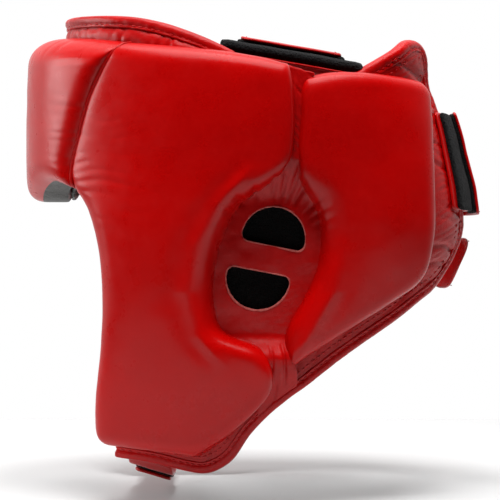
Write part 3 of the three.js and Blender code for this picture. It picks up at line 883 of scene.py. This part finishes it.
def rears():
    front = [[a - 1.0 * float(smooth(z, 34, 50)), z] for a, z in REAR_FRONT]
    area = Strip(front, REAR_BACK, None, [front[-1]] + REAR_TOP[1:])
    edges = (
        (lambda z: 7 + 4.5 * in_groove(z), lambda z: 8 - 3 * in_groove(z)),
        (9, 6.5), (7, 7), (9, 6.5),
    )
    obj = pad("left_rear_pad", area, REAR_PAD, 24, 38, edges)

    def rule(angle, z, height, points):
        hem = (1 - smooth(height, 8, 14)) * smooth(height, 2, 6)
        groove = hem * (1 - smooth(angle, 106, 112)) * smooth(z, 34, 50)
        groove = groove * folds(z, height, 5, 51, 0.35, 0.8, 0.1) * 0.5
        back = hem * smooth(angle, 138, 144) * folds(z, height, 7, 52, 0.3, 0.7, 0.2) * 0.35
        ear = ear_wrinkles(points) * 0.7 * (1 - smooth(height, 12, 16))
        return unevenness(angle, z) + groove + back + ear + ear_ridge(angle, z)

    displace(obj, rule)
    pair(obj, "rear_pad", ["rear_cover", "rear_foam"])


# ---- the leather between the pads ----
def half_moon(y, z, tilt):
    """A half-moon ear opening's outline, as (y, z)."""
    half, corner = HOLE_WIDTH / 2, HOLE_CORNER
    points = []
    inner = half - corner
    for k in range(7):
        turn = math.radians(-90 + 15 * k)
        points.append((inner + corner * math.cos(turn), corner + corner * math.sin(turn)))
    for k in range(1, 32):
        turn = math.pi * k / 32
        points.append((half * math.cos(turn), corner + (HOLE_HEIGHT - corner) * math.sin(turn)))
    for k in range(7):
        turn = math.radians(180 + 15 * k)
        points.append((corner * math.cos(turn) - inner, corner + corner * math.sin(turn)))
    turn = math.radians(tilt)
    spin = np.array([[math.cos(turn), math.sin(turn)], [-math.sin(turn), math.cos(turn)]])
    return np.array(points) @ spin + [y, z]


def cut_holes(obj):
    """Cuts both ear openings through a piece on the wearer's left."""
    for number, hole in enumerate(HOLES):
        outline = half_moon(*hole)
        count = len(outline)
        points = [(x, y, z) for x in (50, 120) for y, z in outline]
        faces = [[i, (i + 1) % count, count + (i + 1) % count, count + i] for i in range(count)]
        faces += [list(range(count))[::-1], list(range(count, 2 * count))]
        cutter = make(f"cutter_{number}", points, faces, RAW)
        modifier = obj.modifiers.new("hole", "BOOLEAN")
        modifier.operation = "DIFFERENCE"
        modifier.solver = "EXACT"
        modifier.object = cutter
        bake(obj)
        bpy.data.objects.remove(cutter)


def hole_distance(centre):
    """How far (y, z) points are from the nearer ear opening's outline."""
    best = np.full(len(centre), np.inf)
    for hole in HOLES:
        for y, z in half_moon(*hole):
            best = np.minimum(best, np.hypot(centre[:, 1] - y, centre[:, 2] - z))
    return best


def valley():
    area = Strip(VALLEY_FRONT, VALLEY_BACK)
    grid = Grid(area, 44, 170)
    ear = smooth(grid.b, -58, -44) * (1 - smooth(grid.b, 24, 50))
    low = 1 - smooth(grid.b, -84, -60)
    floor = 12.5 - 9.5 * ear - 10.5 * low
    side = np.minimum(grid.front, grid.back)
    top = floor + 2.2 * np.exp(-side / 2.2) * (1 - low) * ear
    obj = closed("left_ear_floor", area, grid, top, floor - 2.8, RED_SOFT)

    def rule(angle, z, height, points):
        outer = smooth(height, 1.4, 2.4)
        groove = folds(z + angle * 2, angle * MEASURE, 4.5, 61, 0.5, 0.9, 0.0)
        groove = groove * smooth(z, 34, 44) * 1.2
        below = (1 - smooth(z, -56, -46)) * folds(angle * MEASURE, z, 3.6, 62, 0.5, 0.8, 0.0) * 1.6
        radial = ear_wrinkles(points) * 1.8
        soft = 0.35 * noise(angle / 5, z / 7, 0, 63) + 0.12 * noise(angle, z / 1.6, 0, 64)
        return outer * (groove + below + radial + soft)

    displace(obj, rule)
    cut_holes(obj)

    def raw(angle, z, height, centre, normal):
        return (hole_distance(centre) < 1.2) & (np.abs(normal[:, 0]) < 0.6)

    paint(obj, RAW, raw)
    pair(obj, "ear_floor", ["ear_panel"])
    # pale cut edge standing round each opening
    for number, hole in enumerate(HOLES):
        outline = half_moon(*hole)
        spots = np.concatenate([outline, outline[:2]])
        fine = np.linspace(0, 1, 150)
        share = np.linspace(0, 1, len(spots) - 1)
        y = np.interp(fine, share, spots[:-1, 0])
        z = np.interp(fine, share, spots[:-1, 1])
        x = np.full(150, 80.0)
        for _ in range(12):
            angle = np.degrees(np.arctan2(x, AXIS_Y - y))
            radius = form_radius(angle, z) + 2.9
            x = np.sqrt(np.maximum(radius**2 - (AXIS_Y - y) ** 2, 1))
        start, end = (2, -4) if hole[2] < 90 else (-6, -14)
        lower = smooth(z, hole[1] + start, hole[1] + end)
        wobble = 0.36 + 0.22 * lower + 0.14 * noise(y / 1.4, z / 1.4, 0, 65 + number)
        name = f"ear_edge_{number + 1}"
        rim = tube(f"left_{name}", np.stack([x, y, z], -1), wobble, RAW, 8)
        pair(rim, name)
    # painted shade: a near-black sheet just under the ear floor, behind both openings, so the
    # holes read as dark as their shade
    shade_sheet_area = Strip(
        [[76, -46], [75, -22], [77, 4], [82, 22], [88, 31]],
        [[104, -40], [108, -20], [109, 3], [107, 20], [101, 34]],
    )
    shade_sheet_grid = Grid(shade_sheet_area, 12, 24)
    shade_sheet = closed("left_ear_hole_shade_sheet", shade_sheet_area, shade_sheet_grid, -0.3, -0.8, PAINTED_HOLE_SHADE)
    pair(shade_sheet, "ear_hole_shade_sheet")


def skirt():
    area = Strip(UNDER_PADS, inset(OUTER_EDGE, 4), leans=True)
    grid = Grid(area, 26, 330)
    behind = smooth(grid.a, 141, 148) * smooth(grid.b, -20, 0)
    obj = closed("left_skirt", area, grid, 1.3 + 0.4 * behind, -0.3, RED_SOFT)

    def rule(angle, z, height, points):
        outer = smooth(height - wing_lean(angle, z), 0.2, 0.9)
        edge_way = folds(angle * MEASURE * 0.8 - z * 0.6, z, 6, 71, 0.35, 0.8, 0.1)
        edge_way = edge_way * (1 - smooth(z, -30, -10))
        back = np.maximum(smooth(angle, 140, 146) * smooth(z, -30, 0), smooth(z, 84, 94))
        back_folds = folds(z + 0.35 * angle * MEASURE, angle * MEASURE, 8, 72, 0.3, 1.1, 0.1)
        fine = folds(z - 0.5 * angle * MEASURE, angle * MEASURE, 3.4, 73, 0.3, 1.3, 0.3)
        return outer * (0.9 * edge_way + back * (1.5 * back_folds + 0.6 * fine))

    displace(obj, rule)
    pair(obj, "skirt", ["rear_flap"])


def inset(points, distance):
    """An edge moved into the head's side."""
    flat = np.array(points, float) * [MEASURE, 1]
    t = np.linspace(0, 1, len(flat))
    step = 1e-4
    way = spline(flat, t + step) - spline(flat, t - step)
    way /= np.linalg.norm(way, axis=1)[:, None]
    moved = flat + distance * np.stack([-way[:, 1], way[:, 0]], -1)
    return (moved / [MEASURE, 1]).tolist()


def binding():
    area = Strip(inset(OUTER_EDGE, BINDING_WIDTH), OUTER_EDGE, leans=True)
    section = [
        (0.0, 1.0), (0.03, 1.7), (0.12, 2.0), (0.24, 1.75), (0.3, 1.55), (0.36, 1.75), (0.5, 2.15),
        (0.68, 2.25), (0.84, 1.9), (0.95, 1.1), (1.0, -0.1), (1.0, -2.0), (0.95, -3.0),
        (0.8, -3.6), (0.4, -3.7), (0.1, -3.5), (0.0, -2.8), (0.02, -1.0),
    ]

    def ripple(along, u, height):
        dent = -0.28 * np.exp(-(((u - 0.3) / 0.1) ** 2))
        dent = dent * (0.5 + 0.5 * np.cos(along * 2 * math.pi / STITCH))
        pucker = 0.16 * noise(along / 3.1, u * 2, 0, 81) + 0.1 * noise(along / 1.3, u * 4, 0, 82)
        return (dent + pucker) * (height > 0)

    obj = sweep("left_edge_binding", area, section, 620, RED_TRIM, ripple)
    pair(obj, "edge_binding", ["cheek_binding", "wing_binding"])
    row = stitches("left_edge_stitching", [(area, 0.3, 0.002, 0.998, 1.62)], THREAD)
    pair(row, "edge_stitching")
    edges = [inset(OUTER_EDGE, BINDING_WIDTH + more) for more in (3, 2.4)]
    groove = Strip(*edges, leans=True)
    second = stitches("left_skirt_stitching", [(groove, 0.5, 0.01, 0.99, 1.45)], THREAD)
    pair(second, "skirt_stitching")


def collar():
    area = Strip(both_halves(COLLAR_TOP), both_halves(COLLAR_FOOT))
    grid = Grid(area, 14, 260)
    bulge = 1.6 * np.sin(math.pi * grid.u)
    obj = closed("crown_collar_leather", area, grid, 2.2 + bulge, -0.6, RED_SOFT)

    def rule(angle, z, height, points):
        outer = smooth(height, 0.5, 1.6)
        gathers = folds(angle * MEASURE, z, 5, 91, 0.4, 0.5, 0.0) * 1.2
        return outer * (gathers + 0.25 * noise(angle / 2, z / 3, 0, 92))

    displace(obj, rule)
    declare(obj, "shell", "red_leather", "crown_collar")
    rim = both_halves(CROWN_EDGE)
    lower = [[angle, z - BINDING_WIDTH] for angle, z in rim]
    band_area = Strip(lower, rim)
    section = [
        (0.0, 1.2), (0.03, 2.9), (0.12, 3.5), (0.24, 3.3), (0.3, 3.1), (0.36, 3.3), (0.5, 3.9),
        (0.7, 4.0), (0.86, 3.4), (0.96, 2.4), (1.0, 1.0), (0.97, -0.4), (0.88, -1.2), (0.5, -1.5),
        (0.1, -1.2), (0.0, -0.4),
    ]

    def ripple(along, u, height):
        pucker = 0.25 * noise(along / 3.3, u * 2, 0, 93) + 0.12 * noise(along / 1.4, u * 4, 0, 94)
        return pucker * (height > 0)

    band = sweep("crown_collar_band", band_area, section, 300, RED_TRIM, ripple)
    declare(band, "shell", "trim_leather", "crown_collar_binding")
    row = stitches("crown_collar_stitching", [(band_area, 0.3, 0.003, 0.997, 3.2)], THREAD)
    declare(row, "shell", "trim_leather")


# ---- lining ----
def lining(name, node):
    """A frame solid made again with rounded edges, an even fine mesh and creases inside."""
    obj = link(name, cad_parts[node].data.copy())
    remesh = obj.modifiers.new("even", "REMESH")
    remesh.mode = "VOXEL"
    remesh.voxel_size = 1.1 * MM
    even = obj.modifiers.new("soft", "SMOOTH")
    even.factor = 0.5
    even.iterations = 4
    bake(obj)
    obj.data.materials.clear()
    obj.data.materials.append(LINING)

    def creased(angle, z, height, points):
        inner = 1 - smooth(height, -2.6, -1.8)
        lines = folds(z, angle * MEASURE, 9, 101, 0.25, 1.2, 0.4) * 0.5
        return inner * (lines + 0.3 * noise(angle / 9, z / 14, 0, 102))

    return displace(obj, creased)


def linings():
    brow_lining = lining("brow_lining_leather", "brow_lining")
    declare(brow_lining, "shell", "lining", "brow_lining")
    for node, bends in (("side_lining", False), ("rear_lining", True)):
        name = f"{node}_leather"
        pair(lining(f"left_{name}", f"left_{node}"), name, [node], bends=bends)


# ---- straps ----
def strap(
    name, surface, low, thick, material, body, node, along=60, wave=0.15, corner=4.0,
):
    """A leaf with rounded edges and corners, of leather or of hook or loop pile."""
    least = thick if not callable(thick) else 2.0
    rings = [least * 0.08, least * 0.25, least * 0.55]
    grid = Grid(Rounded(surface, corner), 30, along + 6, rings)
    base = low(grid.a) if callable(low) else low
    half = (thick(grid.a) if callable(thick) else thick) / 2
    edge = np.sqrt(1 - (1 - np.clip(grid.away / half, 0, 1)) ** 2)
    middle = base + half + wave * noise(grid.a / 9, grid.b / 9, 0, 5)
    obj = closed(name, surface, grid, middle + half * edge, middle - half * edge, material)
    declare(obj, body, "red_leather" if material is RED_SOFT else "hook_and_loop", node)


def sewn(name, surface, low, thick, body):
    """A row of stitches near each long edge of a strap."""
    margin = 3.0
    u = margin / float(surface.width(np.array([0.5]))[0])
    v = margin / surface.length

    def level(a, b):
        return low(a) + thick + 0.05

    rows = [(surface, share, v, 1 - v, level) for share in (u, 1 - u)]
    declare(stitches(name, rows, THREAD), body, "trim_leather")


def crown(x, y):
    return Arch(x, y, **CROWN_ARCH)


def chin(x, y):
    return Arch(x, y, **CHIN_ARCH)


def nape(angles, heights):
    low, high = ([[angle, z] for angle in angles] for z in heights)
    return Strip(low, high)


def crown_closure():
    area, rise, body = crown((-68, 48), (-5, 50)), ramp(0.3, 5.9, -34, -1), "crown_strap"
    tab, loops = crown((4, 69), (-15, 60)), crown((6, 68), (-16, 61))
    hooks = crown((8, 47.6), (-7, 52))
    strap("crown_tab_leather", tab, -1.2, 1.3, RED_SOFT, "shell", "crown_tab")
    pile = ramp(3.0, 5.4, 49, 56)
    strap("crown_loop_pile", loops, -0.1, pile, PILE, "shell", "crown_tab_loop", wave=0.3)
    strap("crown_strap_leather", area, rise, 1.8, RED_SOFT, body, "crown_strap", 90)
    strap("crown_hook_pile", hooks, 2.7, 3.3, HOOKS, body, "crown_strap_hook", wave=0.1)
    sewn("crown_strap_stitching", area, rise, 1.8, body)


def chin_rise(x):
    """The strap's level: down to the cheek's edge at its sewn end, and up onto the tab."""
    return ramp(0.3, 3.3, -38, -15)(x) + ramp(-3.7, 0, -57, -46)(x)


def chin_closure():
    area, body = chin((-57, 26), (-64, -44)), "chin_strap"
    tab, tab_rise = chin((-12, 57), (-66, -42)), ramp(0, -3.4, 46, 57)
    loops, hooks = chin((-10, 36), (-63, -42.5)), chin((-9, 23), (-62, -45))
    strap("chin_tab_leather", tab, tab_rise, 1.6, RED_SOFT, "shell", "chin_tab")
    strap("chin_loop_pile", loops, 1.5, 1.0, PILE, "shell", "chin_tab_loop", wave=0.2)
    strap("chin_strap_leather", area, chin_rise, 2.0, RED_SOFT, body, "chin_strap", 70)
    strap("chin_hook_pile", hooks, 2.4, 1.0, HOOKS, body, "chin_strap_hook", wave=0.1)
    sewn("chin_strap_stitching", area, chin_rise, 2.0, body)


def rear_closure():
    tab, loops = nape((158, 190), (22, 76)), nape((160, 189), (22, 76))
    strap("rear_tab_leather", tab, 2.1, 1.4, RED_SOFT, "left_wing", "rear_tab")
    strap("rear_loop_pile", loops, 3.3, 2.7, PILE, "left_wing", "rear_tab_loop", wave=0.3)
    area, fall, body = nape((173, 196.7), (20, 78)), ramp(8.0, 2.1, 191.5, 196.5), "rear_strap"
    hooks, root = nape((173.3, 188), (21, 77)), nape((197.3, 204), (20, 78))
    strap("rear_strap_leather", area, fall, 1.8, RED_SOFT, body, "rear_strap", wave=0.3)
    strap("rear_hook_pile", hooks, 5.9, 2.2, HOOKS, body, "rear_strap_hook", wave=0.1)
    sewn("rear_strap_stitching", area, fall, 1.8, body)
    strap("rear_strap_root", root, 2.1, 1.8, RED_SOFT, "right_wing", "rear_strap_base", 20)
    area, flare, body = nape((175.5, 199), (-22, 7)), ramp(3.8, 2.1, 176, 190), "right_wing"
    strap(
        "nape_tongue_leather", area, flare, 1.8, RED_SOFT, body, "nape_tongue",
        wave=0.4, corner=14,
    )
    sewn("nape_tongue_stitching", area, flare, 1.8, body)


# ---- the studio ----
def studio():
    scene = bpy.context.scene
    s = Shader(
        "pale_floor", Roughness=0.9, Specular_IOR_Level=0.1,
        Emission_Color=(1, 1, 1, 1), Emission_Strength=0.1,
    )
    s.use("Base Color", s.mix(s.noise(3, 2), (0.44, 0.44, 0.44, 1), (0.48, 0.48, 0.48, 1)))
    s.use("Normal", s.bump(s.noise(300, 2), 0.05, 0.001))
    mesh = bpy.data.meshes.new("floor")
    corners = ((-1, -1), (1, -1), (1, 1), (-1, 1))
    level = CAD_BOX[0][2] - FLOOR_GAP
    mesh.from_pydata(
        [(x * FLOOR_HALF, y * FLOOR_HALF, level) for x, y in corners], [], [[0, 1, 2, 3]],
    )
    mesh.materials.append(s.material)
    link("floor", mesh)

    scene.view_settings.view_transform = "Standard"
    world = bpy.data.worlds.new("studio")
    scene.world = world
    world.use_nodes = True
    nodes, links = world.node_tree.nodes, world.node_tree.links
    background = nodes["Background"]
    # a white backdrop behind the object and a darker room in front of it
    way = nodes.new("ShaderNodeTexCoord").outputs["Generated"]
    parts = nodes.new("ShaderNodeSeparateXYZ")
    links.new(way, parts.inputs[0])
    room = nodes.new("ShaderNodeMapRange")
    links.new(parts.outputs["X"], room.inputs["Value"])
    for key, value in (("From Min", -0.5), ("From Max", 0.1), ("To Min", 0.8), ("To Max", 0.02)):
        room.inputs[key].default_value = value
    path = nodes.new("ShaderNodeLightPath")
    level = nodes.new("ShaderNodeMix")
    links.new(path.outputs["Is Camera Ray"], level.inputs[0])
    links.new(room.outputs["Result"], level.inputs[2])
    level.inputs[3].default_value = 1.0
    links.new(level.outputs[0], background.inputs["Strength"])
    background.inputs["Color"].default_value = (1, 1, 1, 1)

    def softbox(name, place, size, power, shines=True):
        light = bpy.data.lights.new(name, "AREA")
        light.shape = "RECTANGLE"
        light.size, light.size_y = size
        light.energy = power
        obj = link(name, light)
        obj.location = place
        obj.visible_glossy = shines
        obj.rotation_euler = (-Vector(place)).to_track_quat("-Z", "Y").to_euler()

    softbox("key", (0.62, 0.0, 1.9), (0.8, 0.8), 58, shines=False)
    softbox("top", (0.1, 0.0, 1.6), (1.2, 1.4), 21)
    softbox("front", (-0.1, -1.5, 0.5), (0.7, 1.0), 15)

    camera = bpy.data.cameras.new("camera")
    camera.lens = LENS
    camera.sensor_width = SENSOR
    camera.clip_start = 0.05
    obj = link("camera", camera)
    obj.location = (CAMERA_AWAY, 0, 0)
    obj.rotation_euler = Vector((-1, 0, 0)).to_track_quat("-Z", "Y").to_euler()
    scene.camera = obj


brow()
sides()
rears()
valley()
skirt()
binding()
collar()
linings()
crown_closure()
chin_closure()
rear_closure()
studio()
